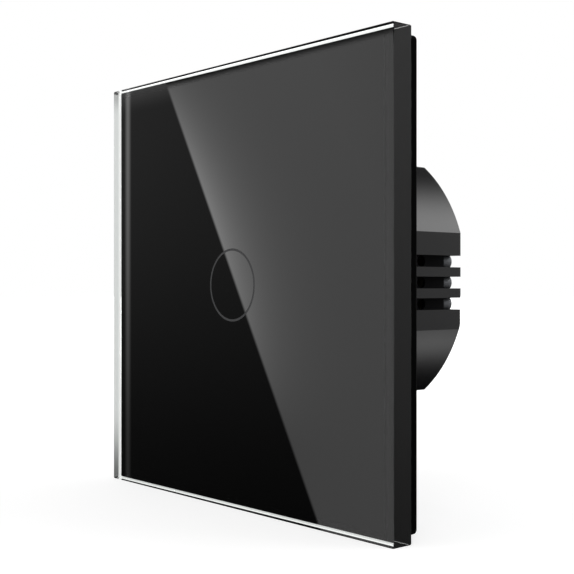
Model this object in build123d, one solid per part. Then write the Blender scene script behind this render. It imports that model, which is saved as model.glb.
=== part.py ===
from build123d import *
import os

# Touch light switch: a glass panel that snaps onto a round relay module,
# which is screwed to a flush wall box through a steel plate.
# Millimetres. X to the right seen from the front, Y into the wall, Z up.
# The origin is the middle of the wall box's screw pattern, on the wall's plane.

# Overall places
front_projection = 7.0
panel_drop = 1.2
cut_overrun = 1.0
face_gap = 0.1
sliding_gap = 0.1

# Glass panel, its black print and the touch ring
panel_size = 80.0
glass_thickness = 3.9
glass_front_arris = 0.2
glass_rear_arris = 0.15
glass_corner_arris = 0.2
print_thickness = 0.05
print_margin = 0.35
ring_radius = 6.55
ring_line = 0.4
tape_thickness = 0.15
tape_inset = 1.2
tape_width = 5.0

# Panel frame, bonded to the back of the glass
frame_inset = 1.05
frame_corner_radius = 0.8
frame_base_thickness = 1.0
frame_skirt_wall = 1.7
frame_rear_edge = 0.5
frame_window_gap = 0.8
frame_wall_gap = 0.45
hook_spacing = 18.0
hook_width = 6.0
hook_thickness = 1.0
hook_place = 24.2
hook_reach = 1.7
hook_barb = 0.4
hook_barb_height = 1.2
pry_notch_width = 9.0
pry_notch_depth = 1.2
head_window_width = 8.0
head_window_length = 9.0

# Steel mounting plate
plate_edge_gap = 1.05
plate_thickness = 1.0
plate_seat_depth = 0.1
plate_seat_gap = 0.1
plate_corner_cut = 4.0
plate_lap = 2.0
box_screw_spacing = 60.0
box_slot_width = 3.6
box_slot_length = 5.6
hook_window_gap = 0.2

# Rear housing
housing_radius = 26.6
housing_flat = 20.8
housing_wall = 1.5
housing_edge = 0.5
side_chord_depth = 1.3
lower_slab_step = 0.35
comb_depth = 2.0
wire_slot_width = 2.1
wire_slot_front = 13.5
boss_inset = 5.06
boss_turn = 41.24
boss_radius = 2.9
boss_floor = 3.0
boss_counterbore = 2.1
board_rib_spacing = 26.0
board_rib_width = 1.2
board_rib_depth = 2.0

# Housing screws
screw_shank_radius = 1.1
screw_head_radius = 1.9
screw_head_height = 1.4
screw_length = 8.0
screw_hole_gap = 0.15
pilot_gap = 0.02
recess_width = 0.6
recess_depth = 0.7

# Front cover of the module
cover_front = -2.7
collar_gap = 0.2
collar_wall = 1.2
collar_depth = 1.2
pillar_radius = 2.4
pillar_rear = 8.0
post_width = 3.0
post_thickness = 1.2
post_spacing = 16.0
standoff_radius = 1.5
standoff_pin_radius = 0.7
standoff_pin_stand = 0.5
standoff_edge_across = 2.5
standoff_edge_up = 2.4
cover_window_gap = 0.2

# Touch board and what it carries
touch_board_front = 1.4
touch_board_thickness = 1.0
touch_board_width = 30.0
touch_board_height = 22.0
touch_board_corner = 1.0
pin_hole_gap = 0.05
light_guide_radius = 7.4
light_guide_wall = 1.5
light_guide_flange = 1.6
light_guide_flange_height = 0.8
light_guide_front_gap = 0.15
spring_radius = 4.2
spring_wire_radius = 0.3
spring_turns = 3
spring_leg = 1.2
spring_leg_turn = 12.0
spring_contact_gap = 0.1
led_length = 3.2
led_width = 1.6
led_height = 1.1
led_spacing = 2.6
chip_length = 5.0
chip_width = 3.9
chip_height = 1.4
chip_stand = 0.1
chip_lead_pitch = 1.27
chip_lead_width = 0.4
chip_lead_reach = 0.9
chip_lead_thickness = 0.2
chip_leads_a_side = 4
chip_place_x = 6.5
chip_place_z = 4.0
small_part_length = 2.0
small_part_width = 1.25
small_part_height = 0.6
small_part_pitch = 2.6
small_part_count = 5
small_part_place_x = 6.5
small_part_place_z = -4.5

# Pin header between the boards
header_pins_count = 5
header_pitch = 2.54
header_pin_side = 0.64
header_width = 2.5
header_carrier_height = 2.5
header_place_x = -11.0
header_pin_gap = 0.06
header_tail = 0.8
header_hole_radius = 0.5

# Power board
power_board_rear = 12.0
power_board_thickness = 1.2
power_board_gap = 0.3
pillar_notch_gap = 0.4

# Screw terminals on the right side
pole_count = 3
pole_pitch = 3.81
pole_middle = -0.76
terminal_inset = 1.7
terminal_screw_radius = 1.0
terminal_head_radius = 1.5
terminal_head_height = 2.2
terminal_head_sink = 0.2
terminal_thread_gap = 0.04
terminal_slot_width = 0.6
terminal_slot_depth = 0.8
cage_travel = 2.0
cage_width = 3.0
cage_length = 2.2
cage_wall = 0.4
cage_floor = 0.8
cage_collar = 1.6
cage_top_play = 0.3
wire_space = 2.2
busbar_thickness = 0.8
busbar_width = 2.0
busbar_length = 6.6
busbar_tail = 1.2
block_length = 9.8
block_end_wall = 0.5
wire_hole_radius = 1.0

# Relay on the power board
relay_x = -1.5
relay_z = -11.4
relay_cover_wall = 0.7
relay_end_gap = 0.4
relay_side_gap = 0.6
relay_top_gap = 0.3
relay_headroom = 0.4
relay_base_thickness = 1.2
coil_length = 9.0
coil_flange_thickness = 0.8
coil_flange_height = 6.6
coil_flange_width = 7.6
coil_barrel_radius = 1.9
coil_winding_radius = 3.1
coil_stand = 2.1
core_radius = 1.2
pole_shoe_radius = 2.0
pole_shoe_thickness = 0.3
yoke_thickness = 1.0
yoke_width = 7.0
yoke_gap = 0.3
armature_thickness = 0.8
armature_gap = 0.4
armature_foot = 2.0
leaf_thickness = 0.2
leaf_width = 3.0
leaf_foot = 0.4
leaf_top_drop = 1.0
contact_radius = 0.6
contact_height = 0.65
contact_lift = 1.1
contact_gap = 0.56
contact_post_width = 3.0
contact_post_thickness = 0.5
stop_gap = 0.1
stop_thickness = 0.8
stop_height = 3.6
relay_pin_radius = 0.4
relay_pin_inset = 2.0

# Loose parts on the power board
lead_radius = 0.3
lead_tail = 0.8
film_capacitor_length = 13.0
film_capacitor_width = 5.6
film_capacitor_headroom = 1.6
film_capacitor_x = 0.0
film_capacitor_z = 14.4
film_capacitor_lead_spacing = 10.0
box_edge = 0.5
electrolytic_radius = 3.15
electrolytic_headroom = 1.6
electrolytic_x = -16.5
electrolytic_z = 0.0
electrolytic_lead_spacing = 2.5
electrolytic_groove = 0.3
electrolytic_groove_place = 2.0
varistor_radius = 4.0
varistor_thickness = 3.4
varistor_x = 6.0
varistor_z = 7.8
varistor_lift = 0.4
varistor_lead_spacing = 5.0
fuse_radius = 2.0
fuse_height = 7.5
fuse_x = -6.5
fuse_z = 6.5
fuse_lead_spacing = 2.0
resistor_radius = 1.1
resistor_waist_radius = 0.95
resistor_length = 6.4
resistor_x = 3.0
resistor_z = -2.4
resistor_pitch = 3.4
resistor_count = 2
resistor_lift = 0.4
resistor_lead_overhang = 1.6
choke_radius = 3.5
choke_core_radius = 2.0
choke_height = 6.4
choke_flange = 1.0
choke_winding_gap = 0.4
choke_x = -5.8
choke_z = -1.5
rectifier_length = 6.4
rectifier_width = 4.6
rectifier_height = 2.4
rectifier_x = -3.0
rectifier_z = 10.6
transistor_radius = 2.2
transistor_flat = 1.2
transistor_height = 4.6
transistor_lift = 1.0
transistor_x = -20.2
transistor_z = -7.6
transistor_lead_pitch = 1.27

# Places worked out from the sizes above
glass_front = -front_projection
glass_back = glass_front + glass_thickness
print_back = glass_back + print_thickness
frame_front = print_back + tape_thickness
frame_base_rear = frame_front + frame_base_thickness
frame_rear = -frame_wall_gap
plate_front = -plate_thickness
panel_middle = -panel_drop
frame_size = panel_size - 2 * frame_inset
frame_inside = frame_size - 2 * frame_skirt_wall
plate_size = frame_inside - 2 * plate_edge_gap
hook_barb_tip = hook_place + hook_thickness + hook_barb
collar_inset = plate_lap + collar_gap
touch_board_rear = touch_board_front + touch_board_thickness
standoff_across = touch_board_width - 2 * standoff_edge_across
standoff_up = touch_board_height - 2 * standoff_edge_up
power_board_front = power_board_rear - power_board_thickness
coil_lift = coil_stand + coil_flange_height / 2
yoke_lift = coil_lift + coil_flange_height / 2 + yoke_gap
relay_inside_height = relay_base_thickness + yoke_lift + yoke_thickness + relay_top_gap
relay_height = relay_inside_height + relay_cover_wall
armature_reach = coil_flange_thickness + pole_shoe_thickness + armature_gap + armature_thickness
stop_reach = leaf_thickness + stop_gap + stop_thickness
relay_length = coil_length + 2 * (armature_reach + stop_reach + relay_end_gap + relay_cover_wall)
relay_width = coil_flange_width + 2 * (relay_side_gap + relay_cover_wall)
housing_floor = power_board_rear + relay_height + relay_headroom
housing_depth = housing_floor + housing_wall
film_capacitor_rear = housing_floor - film_capacitor_headroom
electrolytic_rear = housing_floor - electrolytic_headroom
side_chord = housing_radius - side_chord_depth
chord_inside = side_chord - comb_depth
terminal_x = chord_inside - terminal_inset
boss_place = Vector(housing_radius - boss_inset, 0).rotate(Axis.Z, boss_turn)
screw_seat = pillar_rear + face_gap + boss_floor
screw_tip = screw_seat - screw_length
poles = [pole_middle + pole_pitch * (place - (pole_count - 1) / 2) for place in range(pole_count)]
head_top = housing_depth - terminal_head_sink
head_under = head_top - terminal_head_height
cage_rise_room = cage_travel + cage_collar + cage_top_play + cage_top_play
busbar_top = head_under - cage_rise_room
busbar_under = busbar_top - busbar_thickness
cage_floor_top = busbar_under - wire_space
cage_bottom = cage_floor_top - cage_floor
cage_window_top = busbar_top + cage_top_play
cage_top = cage_window_top + cage_collar
chamber_width = cage_width + 2 * sliding_gap
chamber_left = terminal_x - cage_length / 2 - sliding_gap
chamber_right = terminal_x + cage_length / 2 + sliding_gap
block_right = chord_inside - face_gap
block_left = block_right - block_length
block_top = housing_floor - face_gap
bore_radius = terminal_head_radius + sliding_gap
busbar_left = terminal_x + cage_length / 2 - busbar_length
relay_left = relay_x - relay_length / 2
relay_top = power_board_rear + relay_height
relay_floor = power_board_rear + relay_base_thickness
coil_height = relay_floor + coil_lift
coil_right = relay_x + coil_length / 2 + coil_flange_thickness
coil_left = relay_x - coil_length / 2 - coil_flange_thickness
pole_face = coil_left - pole_shoe_thickness
yoke_right = coil_right + yoke_thickness
yoke_under = relay_floor + yoke_lift
yoke_top = yoke_under + yoke_thickness
armature_right = pole_face - armature_gap
armature_left = armature_right - armature_thickness
leaf_left = armature_left - leaf_thickness
contact_y = relay_floor + contact_lift
fixed_contact_face = armature_left + contact_height + contact_gap


def along_y(profile, y_front, y_rear):
    """A profile drawn in X and Z, made solid from one depth to another."""
    face = Plane.XZ.offset(-y_front) * profile
    return extrude(face, amount=y_rear - y_front, dir=(0, 1, 0))


def rod_y(x, z, radius, y_front, y_rear):
    return along_y(Pos(x, z) * Circle(radius), y_front, y_rear)


def rod_x(y, z, radius, x_left, x_right):
    return extrude(Plane.YZ.offset(x_left) * Pos(y, z) * Circle(radius), amount=x_right - x_left)


def brick(x_pair, y_pair, z_pair):
    """A rectangular block between two values along each axis."""
    sizes = [pair[1] - pair[0] for pair in (x_pair, y_pair, z_pair)]
    middles = [(pair[1] + pair[0]) / 2 for pair in (x_pair, y_pair, z_pair)]
    return Pos(*middles) * Box(*sizes)


def around(middle, size):
    return (middle - size / 2, middle + size / 2)


def module_outline(grow):
    """Round outline of the module with its flats above and below."""
    flats = Rectangle(2 * (housing_radius + grow), 2 * (housing_flat + grow))
    return Circle(housing_radius + grow) & flats


def left_of(x):
    """Half plane that cuts a round outline along a chord on the right."""
    span = 2 * housing_radius
    return Pos(x - span, 0) * Rectangle(2 * span, 2 * span)


def corners(across, up):
    return [(side * across / 2, level * up / 2) for side in (-1, 1) for level in (-1, 1)]


def boss_places():
    return corners(2 * boss_place.X, 2 * boss_place.Y)


def slot_places():
    """Middle and turn of each box-screw slot: two across, two above each other."""
    reach = box_screw_spacing / 2
    return [(-reach, 0, 0), (reach, 0, 0), (0, -reach, 90), (0, reach, 90)]


def frame_window():
    """Openings of the panel frame, inside its skirt: the module's and one over each screw head."""
    window = module_outline(frame_window_gap)
    for x, z, turn in slot_places():
        window += Pos(x, z) * Rot(0, 0, turn) * Rectangle(head_window_length, head_window_width)
    return window & panel_outline(frame_inside, frame_corner_radius)


def panel_outline(size, corner):
    return Pos(0, panel_middle) * RectangleRounded(size, size, corner)


# Front panel

def glass_panel():
    glass = along_y(Pos(0, panel_middle) * Rectangle(panel_size, panel_size), glass_front, glass_back)
    glass = chamfer(glass.edges().filter_by(Axis.Y), glass_corner_arris)
    glass = chamfer(glass.edges().group_by(Axis.Y)[0], glass_front_arris)
    return chamfer(glass.edges().group_by(Axis.Y)[-1], glass_rear_arris)


def ring_band():
    middle = Pos(0, panel_middle)
    return middle * Circle(ring_radius) - middle * Circle(ring_radius - ring_line)


def black_print():
    """Ink on the back of the glass, with a clear margin at its edge and the ring left open."""
    side = panel_size - 2 * print_margin
    field = Pos(0, panel_middle) * Rectangle(side, side) - ring_band()
    return along_y(field, glass_back, print_back)


def ring_window():
    return along_y(ring_band(), glass_back, print_back)


def panel_tape():
    """Band of tape along the frame's edge, cut out where the frame is."""
    side = frame_size - 2 * tape_inset
    band = panel_outline(side, frame_corner_radius) - panel_outline(side - 2 * tape_width, frame_corner_radius)
    return along_y(band - frame_window(), print_back, frame_front)


def snap_hook(side, level):
    """Tongue that passes the steel plate, with a barb on its outer face."""
    inner = level * hook_place
    outer = level * (hook_place + hook_thickness)
    barb = level * hook_barb_tip
    catch = hook_reach - hook_barb_height
    points = [
        (frame_base_rear, inner),
        (hook_reach, inner),
        (hook_reach, outer),
        (catch, barb),
        (catch, outer),
        (frame_base_rear, outer),
    ]
    start = side * hook_spacing / 2 - hook_width / 2
    return extrude(Plane.YZ.offset(start) * make_face(Polyline(*points, close=True)), amount=hook_width)


def panel_frame():
    outline = panel_outline(frame_size, frame_corner_radius)
    inner = panel_outline(frame_inside, frame_corner_radius)
    frame = along_y(outline, frame_front, frame_rear)
    rear_edge = frame.edges().group_by(Axis.Y)[-1]
    frame = fillet(rear_edge, frame_rear_edge)
    frame -= along_y(inner, frame_base_rear, frame_rear + cut_overrun)
    frame -= along_y(frame_window(), frame_front - cut_overrun, frame_rear + cut_overrun)
    bottom = panel_middle - frame_size / 2
    notch_rear = frame_rear - pry_notch_depth
    frame -= brick(around(0, pry_notch_width), (notch_rear, cut_overrun),
                   (bottom - cut_overrun, bottom + frame_skirt_wall + cut_overrun))
    for side in (-1, 1):
        for level in (-1, 1):
            frame += snap_hook(side, level)
    return frame


# Fixed module: plate, cover and housing

def mounting_plate():
    """Steel plate with a shallow coined seat for the rim of the rear housing."""
    plate = Pos(0, panel_middle) * Rectangle(plate_size, plate_size)
    plate = chamfer(plate.vertices(), plate_corner_cut)
    plate -= module_outline(-plate_lap)
    for x, z, turn in slot_places():
        plate -= Pos(x, z) * Rot(0, 0, turn) * SlotOverall(box_slot_length, box_slot_width)
    window_low = hook_place - hook_window_gap
    window_high = hook_barb_tip + hook_window_gap
    window = Rectangle(hook_width + 2 * hook_window_gap, window_high - window_low)
    for side in (-1, 1):
        for level in (-1, 1):
            plate -= Pos(side * hook_spacing / 2, level * (window_low + window_high) / 2) * window
    seat = module_outline(plate_seat_gap) & left_of(side_chord + plate_seat_gap)
    return along_y(plate, plate_front, 0) - along_y(seat, -plate_seat_depth, cut_overrun)


def wire_slots():
    """Comb of slots, open to the side and to the rear, one for each pole."""
    slots = []
    for z in poles:
        slots.append(brick((terminal_x, side_chord + cut_overrun),
                           (wire_slot_front, housing_depth + cut_overrun),
                           around(z, wire_slot_width)))
    return slots


def rear_housing():
    """Round tub with two flats, a flat side with the comb, and screw bosses."""
    tub = along_y(module_outline(0) & left_of(side_chord), -plate_seat_depth, housing_depth)
    tub = fillet(tub.edges().group_by(Axis.Y)[-1], housing_edge)
    slab_top = poles[0] - wire_slot_width / 2
    tub -= brick((side_chord - lower_slab_step, side_chord + cut_overrun),
                 (-cut_overrun, housing_depth + cut_overrun),
                 (-housing_radius, slab_top))
    cavity = module_outline(-housing_wall) & left_of(chord_inside)
    tub -= along_y(cavity, -cut_overrun, housing_floor)
    for x, z in boss_places():
        tub += rod_y(x, z, boss_radius, pillar_rear + face_gap, housing_floor)
        tub -= rod_y(x, z, boss_counterbore, screw_seat, housing_depth + cut_overrun)
        tub -= rod_y(x, z, screw_shank_radius + screw_hole_gap, pillar_rear - cut_overrun,
                     screw_seat + cut_overrun)
    rib_outer = housing_flat - housing_wall / 2
    rib_inner = housing_flat - housing_wall - board_rib_depth
    for side in (-1, 1):
        for level in (-1, 1):
            z_pair = sorted((level * rib_inner, level * rib_outer))
            tub += brick(around(side * board_rib_spacing / 2, board_rib_width),
                         (power_board_rear, housing_floor), z_pair)
    for slot in wire_slots():
        tub -= slot
    for z in poles:
        tub -= rod_y(terminal_x, z, bore_radius, housing_floor - cut_overrun, housing_depth + cut_overrun)
    return tub


def collar_outline(inset):
    """Edge of the cover's collar, which fills the steel plate's opening."""
    right = left_of(chord_inside - collar_gap - inset)
    return module_outline(-collar_inset - inset) & right


def front_cover():
    """Black face of the module, behind the glass, that clamps the steel plate."""
    cover = along_y(module_outline(0), cover_front, plate_front)
    collar = collar_outline(0) - collar_outline(collar_wall)
    cover += along_y(collar, plate_front, collar_depth)
    window = Pos(0, panel_middle) * Circle(light_guide_radius + cover_window_gap)
    cover -= along_y(window, cover_front - cut_overrun, collar_depth)
    post_outer = housing_flat - collar_inset
    for side in (-1, 1):
        for level in (-1, 1):
            z_pair = sorted((level * (post_outer - post_thickness), level * post_outer))
            cover += brick(around(side * post_spacing / 2, post_width),
                           (plate_front, power_board_front), z_pair)
    for x, z in boss_places():
        cover += rod_y(x, z, pillar_radius, plate_front, pillar_rear)
        cover -= rod_y(x, z, screw_shank_radius + pilot_gap, screw_tip - face_gap, pillar_rear + cut_overrun)
    for x, z in corners(standoff_across, standoff_up):
        z_here = z + panel_middle
        cover += rod_y(x, z_here, standoff_radius, plate_front, touch_board_front)
        cover += rod_y(x, z_here, standoff_pin_radius, touch_board_front,
                       touch_board_rear + standoff_pin_stand)
    return cover


def housing_screws():
    """Four pan-head screws, driven from the rear into the cover's pillars."""
    screws = []
    head_end = screw_seat + screw_head_height
    for x, z in boss_places():
        screw = rod_y(x, z, screw_head_radius, screw_seat, head_end)
        screw = chamfer(screw.edges().group_by(Axis.Y)[-1], screw_head_height / 4)
        screw += rod_y(x, z, screw_shank_radius, screw_tip, screw_seat)
        recess_pair = (head_end - recess_depth, head_end + cut_overrun)
        screw -= brick(around(x, 2 * screw_shank_radius), recess_pair, around(z, recess_width))
        screw -= brick(around(x, recess_width), recess_pair, around(z, 2 * screw_shank_radius))
        screws.append(screw)
    return screws


# Touch sensor

def touch_board():
    board = Pos(0, panel_middle) * RectangleRounded(touch_board_width, touch_board_height, touch_board_corner)
    for x, z in corners(standoff_across, standoff_up):
        board -= Pos(x, z + panel_middle) * Circle(standoff_pin_radius + pin_hole_gap)
    board -= Pos(*spring_leg_place()) * Circle(spring_wire_radius + pin_hole_gap)
    for z in header_places():
        board -= Pos(header_place_x, z) * Circle(header_hole_radius)
    return along_y(board, touch_board_front, touch_board_rear)


def light_guide():
    """Clear tube that carries the indicator's light to the ring on the glass."""
    front = print_back + light_guide_front_gap
    inner = light_guide_radius - light_guide_wall
    flange_front = touch_board_front - light_guide_flange_height
    middle = Pos(0, panel_middle)
    tube = middle * Circle(light_guide_radius) - middle * Circle(inner)
    flange = middle * Circle(light_guide_radius + light_guide_flange) - middle * Circle(inner)
    return along_y(tube, front, touch_board_front) + along_y(flange, flange_front, touch_board_front)


def spring_leg_place():
    """Where the spring's tail leaves its last coil, a little past its end."""
    corner = Vector(spring_radius, 0).rotate(Axis.Z, spring_leg_turn)
    return corner.X, panel_middle + corner.Y


def touch_spring():
    """Coil spring that carries the touch from the back of the glass to the board."""
    front = print_back + spring_contact_gap + spring_wire_radius
    rear = touch_board_front - spring_wire_radius
    rise = rear - front
    path = Helix(rise / spring_turns, rise, spring_radius)
    section = Plane(origin=path @ 0, z_dir=path % 0) * Circle(spring_wire_radius)
    coil = sweep(section, path=path, is_frenet=True)
    coil = Pos(0, rear, panel_middle) * Rot(90, 0, 0) * coil
    x, z = spring_leg_place()
    return coil + rod_y(x, z, spring_wire_radius, rear, touch_board_front + spring_leg)


def indicator_leds():
    lamps = []
    for level in (-1, 1):
        z_here = panel_middle + level * led_spacing / 2
        lamps.append(brick(around(0, led_length), (touch_board_front - led_height, touch_board_front),
                           around(z_here, led_width)))
    return lamps


def touch_chip():
    body_front = touch_board_rear + chip_stand
    chip = brick(around(chip_place_x, chip_length), (body_front, body_front + chip_height),
                 around(chip_place_z, chip_width))
    return chamfer(chip.edges().group_by(Axis.Y)[-1], chip_height / 5)


def touch_chip_leads():
    leads = []
    first = chip_place_x - chip_lead_pitch * (chip_leads_a_side - 1) / 2
    for place in range(chip_leads_a_side):
        x_pair = around(first + place * chip_lead_pitch, chip_lead_width)
        for level in (-1, 1):
            edge = chip_place_z + level * chip_width / 2
            z_pair = sorted((edge, edge + level * chip_lead_reach))
            leads.append(brick(x_pair, (touch_board_rear, touch_board_rear + chip_lead_thickness), z_pair))
    return leads


def small_parts():
    parts = []
    first = small_part_place_x - small_part_pitch * (small_part_count - 1) / 2
    for place in range(small_part_count):
        parts.append(brick(around(first + place * small_part_pitch, small_part_width),
                           (touch_board_rear, touch_board_rear + small_part_height),
                           around(small_part_place_z, small_part_length)))
    return parts


# Pin header between the boards

def header_places():
    first = -header_pitch * (header_pins_count - 1) / 2
    return [first + place * header_pitch for place in range(header_pins_count)]


def header_pin_holes(y_pair):
    side = header_pin_side + 2 * header_pin_gap
    return [brick(around(header_place_x, side), y_pair, around(z, side)) for z in header_places()]


def header_pins():
    start = touch_board_rear + header_carrier_height
    end = power_board_rear + header_tail
    side = header_pin_side
    return [brick(around(header_place_x, side), (start, end), around(z, side)) for z in header_places()]


def header_carrier():
    y_pair = (power_board_front - header_carrier_height, power_board_front)
    carrier = brick(around(header_place_x, header_width), y_pair,
                    around(0, header_pins_count * header_pitch))
    for hole in header_pin_holes((y_pair[0] - cut_overrun, y_pair[1] + cut_overrun)):
        carrier -= hole
    return carrier


def header_socket():
    y_pair = (touch_board_rear, power_board_front - header_carrier_height - face_gap)
    socket = brick(around(header_place_x, header_width), y_pair,
                   around(0, header_pins_count * header_pitch))
    hole_front = touch_board_rear + header_carrier_height - face_gap
    for hole in header_pin_holes((hole_front, y_pair[1] + cut_overrun)):
        socket -= hole
    return socket


# Power board

def power_board():
    outline = module_outline(-housing_wall - power_board_gap) & left_of(chord_inside - power_board_gap)
    for x, z in boss_places():
        outline -= Pos(x, z) * Circle(boss_radius + pillar_notch_gap)
    for z in header_places():
        outline -= Pos(header_place_x, z) * Circle(header_hole_radius)
    for x, z in lead_places():
        outline -= Pos(x, z) * Circle(lead_radius + pin_hole_gap)
    for x, z in relay_pin_places():
        outline -= Pos(x, z) * Circle(relay_pin_radius + pin_hole_gap)
    for z in poles:
        hole = Rectangle(busbar_thickness + 2 * pin_hole_gap, busbar_width + 2 * pin_hole_gap)
        outline -= Pos(busbar_left + busbar_thickness / 2, z) * hole
    return along_y(outline, power_board_front, power_board_rear)


def lead_places():
    """Where the loose parts' leads pass the power board."""
    pairs = [
        (film_capacitor_x, film_capacitor_z, film_capacitor_lead_spacing),
        (electrolytic_x, electrolytic_z, electrolytic_lead_spacing),
        (varistor_x, varistor_z, varistor_lead_spacing),
        (fuse_x, fuse_z, fuse_lead_spacing),
    ]
    places = []
    for x, z, spacing in pairs:
        places += [(x - spacing / 2, z), (x + spacing / 2, z)]
    for place in range(resistor_count):
        z_here = resistor_z + place * resistor_pitch
        reach = resistor_length / 2 + resistor_lead_overhang
        places += [(resistor_x - reach, z_here), (resistor_x + reach, z_here)]
    for step in (-1, 0, 1):
        places.append((transistor_x, transistor_z + step * transistor_lead_pitch))
    return places


def lead_wires():
    """Tinned leads of the loose parts, down through the board."""
    tail = power_board_front - lead_tail
    leads = []
    for x, z in lead_places():
        leads.append(rod_y(x, z, lead_radius, tail, power_board_rear))
    height = power_board_rear + resistor_lift + resistor_radius
    for place in range(resistor_count):
        z_here = resistor_z + place * resistor_pitch
        for side in (-1, 1):
            end = resistor_x + side * resistor_length / 2
            far = end + side * resistor_lead_overhang
            x_pair = sorted((end, far))
            leads.append(rod_x(height, z_here, lead_radius, *x_pair) +
                         rod_y(far, z_here, lead_radius, power_board_rear, height))
    for step in (-1, 0, 1):
        leads.append(rod_y(transistor_x, transistor_z + step * transistor_lead_pitch, lead_radius,
                           power_board_rear, power_board_rear + transistor_lift))
    for side in (-1, 1):
        leads.append(rod_y(varistor_x + side * varistor_lead_spacing / 2, varistor_z, lead_radius,
                           power_board_rear, power_board_rear + varistor_lift + varistor_radius / 2))
    return leads


def film_capacitor():
    body = brick(around(film_capacitor_x, film_capacitor_length),
                 (power_board_rear, film_capacitor_rear),
                 around(film_capacitor_z, film_capacitor_width))
    return fillet(body.edges().filter_by(Axis.Y), box_edge)


def electrolytic_capacitor():
    """Aluminium can with the rolled groove above its rubber seal."""
    groove = power_board_rear + electrolytic_groove_place
    can = rod_y(electrolytic_x, electrolytic_z, electrolytic_radius, power_board_rear, electrolytic_rear)
    can = fillet(can.edges().group_by(Axis.Y)[-1], box_edge)
    neck = Circle(2 * electrolytic_radius) - Circle(electrolytic_radius - electrolytic_groove)
    band = along_y(Pos(electrolytic_x, electrolytic_z) * neck, groove, groove + box_edge)
    return can - band


def varistor():
    middle = power_board_rear + varistor_lift + varistor_radius
    start = varistor_z - varistor_thickness / 2
    lead_top = middle - varistor_radius / 2
    face = Plane.XY.offset(start) * Pos(varistor_x, middle) * Circle(varistor_radius)
    disc = extrude(face, amount=varistor_thickness)
    disc = fillet(disc.edges(), varistor_thickness / 4)
    for side in (-1, 1):
        x = varistor_x + side * varistor_lead_spacing / 2
        disc -= rod_y(x, varistor_z, lead_radius, power_board_rear, lead_top)
    return disc


def fuse():
    body = rod_y(fuse_x, fuse_z, fuse_radius, power_board_rear, power_board_rear + fuse_height)
    return fillet(body.edges().group_by(Axis.Y)[-1], box_edge)


def resistors():
    """Axial resistors with a thicker end cap at each side."""
    height = power_board_rear + resistor_lift + resistor_radius
    cap = resistor_length / 5
    bodies = []
    for place in range(resistor_count):
        z_here = resistor_z + place * resistor_pitch
        low = resistor_x - resistor_length / 2
        high = resistor_x + resistor_length / 2
        body = rod_x(height, z_here, resistor_waist_radius, low, high)
        body += rod_x(height, z_here, resistor_radius, low, low + cap)
        body += rod_x(height, z_here, resistor_radius, high - cap, high)
        bodies.append(body)
    return bodies


def transistor():
    outline = Circle(transistor_radius) - Pos(-transistor_flat - transistor_radius, 0) * Rectangle(
        2 * transistor_radius, 2 * transistor_radius)
    low = power_board_rear + transistor_lift
    return along_y(Pos(transistor_x, transistor_z) * outline, low, low + transistor_height)


def choke_core():
    """Drum core between the boards: a thin barrel with two flanges."""
    low = power_board_front - choke_height
    core = rod_y(choke_x, choke_z, choke_core_radius, low, power_board_front)
    core += rod_y(choke_x, choke_z, choke_radius, low, low + choke_flange)
    core += rod_y(choke_x, choke_z, choke_radius, power_board_front - choke_flange, power_board_front)
    return core


def choke_winding():
    middle = Pos(choke_x, choke_z)
    ring = middle * Circle(choke_radius - choke_winding_gap) - middle * Circle(choke_core_radius)
    low = power_board_front - choke_height + choke_flange
    return along_y(ring, low, power_board_front - choke_flange)


def rectifier():
    body = brick(around(rectifier_x, rectifier_length),
                 (power_board_front - rectifier_height, power_board_front),
                 around(rectifier_z, rectifier_width))
    return chamfer(body.edges().group_by(Axis.Y)[0], rectifier_height / 6)


# Screw terminals

def terminal_block():
    """Moulded block with one chamber, one wire hole and one contact seat a pole."""
    z_low = poles[0] - chamber_width / 2 - block_end_wall
    z_high = poles[-1] + chamber_width / 2 + block_end_wall
    block = brick((block_left, block_right), (power_board_rear, block_top), (z_low, z_high))
    seat_gap = pin_hole_gap
    for z in poles:
        block -= brick((chamber_left, chamber_right), (cage_bottom - cage_top_play, block_top + cut_overrun),
                       around(z, chamber_width))
        block -= rod_y(terminal_x, z, bore_radius, head_under - sliding_gap, block_top + cut_overrun)
        block -= brick((terminal_x, block_right + cut_overrun),
                       (head_under - sliding_gap, block_top + cut_overrun), around(z, wire_slot_width))
        block -= rod_x((cage_floor_top + busbar_under) / 2, z, wire_hole_radius, chamber_right - cut_overrun,
                       block_right + cut_overrun)
        bar_z = around(z, busbar_width + 2 * seat_gap)
        block -= brick((busbar_left - seat_gap, chamber_left + cut_overrun),
                       (busbar_under - seat_gap, busbar_top + seat_gap), bar_z)
        block -= brick((busbar_left - seat_gap, busbar_left + busbar_thickness + seat_gap),
                       (power_board_rear - cut_overrun, busbar_top + seat_gap), bar_z)
    return block


def terminal_contacts():
    """Bent tin-plated strips: one leg in the board, the tongue inside the cage."""
    strips = []
    for z in poles:
        bar_z = around(z, busbar_width)
        tongue = brick((busbar_left, busbar_left + busbar_length), (busbar_under, busbar_top), bar_z)
        leg = brick((busbar_left, busbar_left + busbar_thickness),
                    (power_board_front - busbar_tail, busbar_top), bar_z)
        strips.append(tongue + leg)
    return strips


def terminal_screw(z):
    """Slotted screw that stays in place and pulls its cage up by the thread."""
    screw = rod_y(terminal_x, z, terminal_head_radius, head_under, head_top)
    screw += rod_y(terminal_x, z, terminal_screw_radius, busbar_top + pin_hole_gap, head_under)
    slot_pair = (head_top - terminal_slot_depth, head_top + cut_overrun)
    reach = 2 * (terminal_head_radius + cut_overrun)
    return screw - brick(around(terminal_x, terminal_slot_width), slot_pair, around(z, reach))


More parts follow.
